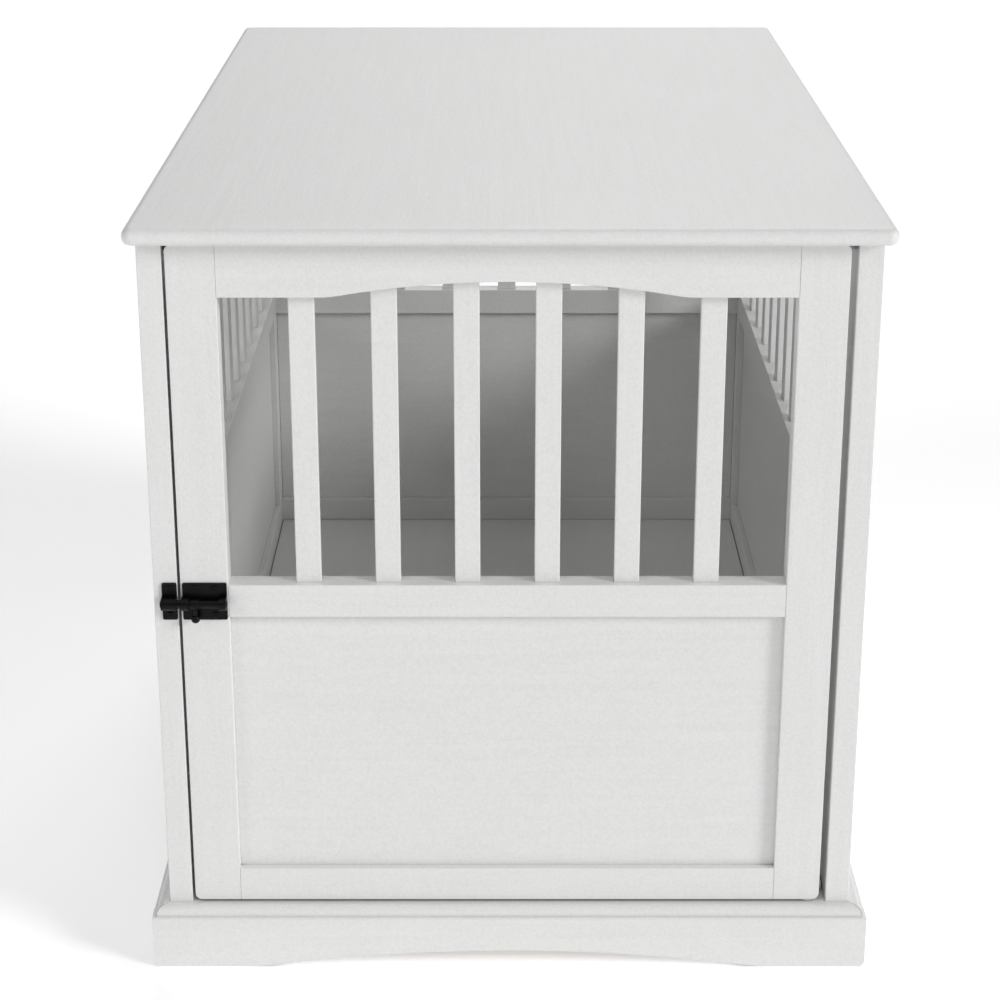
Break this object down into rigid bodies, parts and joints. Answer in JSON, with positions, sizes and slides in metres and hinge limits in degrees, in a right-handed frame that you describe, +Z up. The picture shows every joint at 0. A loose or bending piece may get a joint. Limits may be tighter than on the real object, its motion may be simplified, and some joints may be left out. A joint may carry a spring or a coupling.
{
  "type": "dog crate end table",
  "caption": "End table whose slatted, panelled cabinet is a dog crate, with an arched front door on pivot pins, a barrel bolt and an arched plinth.",
  "frame": {"origin": "on the ground in the middle of the table's plan", "axes": "+X to the right as seen from the door, -Y towards the door, +Z up"},
  "size_m": [0.621, 0.914, 0.666],
  "materials": {
    "white_paint": "satin white paint on solid wood and board",
    "bare_wood": "bare sawn pine",
    "dowel_wood": "bare beech",
    "zinc_steel": "zinc plated",
    "black_metal": "satin black paint",
    "bush_plastic": "natural nylon"
  },
  "bodies": {
    "carcass": {"back_bottom_rail": "white_paint", "back_mid_rail": "white_paint", "back_panel": "white_paint", "back_slats": "white_paint", "back_top_rail": "white_paint", "base_board_front": "white_paint", "base_board_left": "white_paint", "base_board_rear": "white_paint", "base_board_right": "white_paint", "base_cleat_front": "bare_wood", "base_cleat_left": "bare_wood", "base_cleat_rear": "bare_wood", "base_cleat_right": "bare_wood", "base_screws": "zinc_steel", "floor_bearers": "bare_wood", "floor_panel": "white_paint", "front_header_rail": "white_paint", "keeper_plate": "black_metal", "keeper_screws": "black_metal", "left_side_bottom_rail": "white_paint", "left_side_front_stile": "white_paint", "left_side_mid_rail": "white_paint", "left_side_panel": "white_paint", "left_side_rear_stile": "white_paint", "left_side_slats": "white_paint", "left_side_top_rail": "white_paint", "pivot_bushes": "bush_plastic", "rail_dowels": "dowel_wood", "right_side_bottom_rail": "white_paint", "right_side_front_stile": "white_paint", "right_side_mid_rail": "white_paint", "right_side_panel": "white_paint", "right_side_rear_stile": "white_paint", "right_side_slats": "white_paint", "right_side_top_rail": "white_paint", "skirt_front": "white_paint", "skirt_left": "white_paint", "skirt_rear": "white_paint", "skirt_right": "white_paint", "table_top": "white_paint", "top_bracket_screws": "zinc_steel", "top_brackets": "zinc_steel"},
    "door": {"door_bottom_rail": "white_paint", "door_hinge_stile": "white_paint", "door_latch_stile": "white_paint", "door_mid_rail": "white_paint", "door_panel": "white_paint", "door_pivot_pins": "zinc_steel", "door_slats": "white_paint", "door_top_rail": "white_paint", "latch_plate": "black_metal", "latch_screws": "black_metal"},
    "latch_bolt": {"latch_rod": "black_metal"},
    "latch_knob": {"latch_knob": "black_metal"}
  },
  "joints": [
    {"name": "door_hinge", "type": "hinge", "parent": "carcass", "child": "door", "pos_m": [0.26, -0.431, 0.353], "axis": [0, 0, 1], "range_deg": [0, 90]},
    {"name": "bolt_slide", "type": "slide", "parent": "door", "child": "latch_bolt", "axis": [1, 0, 0], "range_m": [0, 0.015]},
    {"name": "knob_turn", "type": "hinge", "parent": "latch_bolt", "child": "latch_knob", "pos_m": [-0.261, -0.448, 0.343], "axis": [-1, 0, 0], "range_deg": [0, 90]}
  ]
}
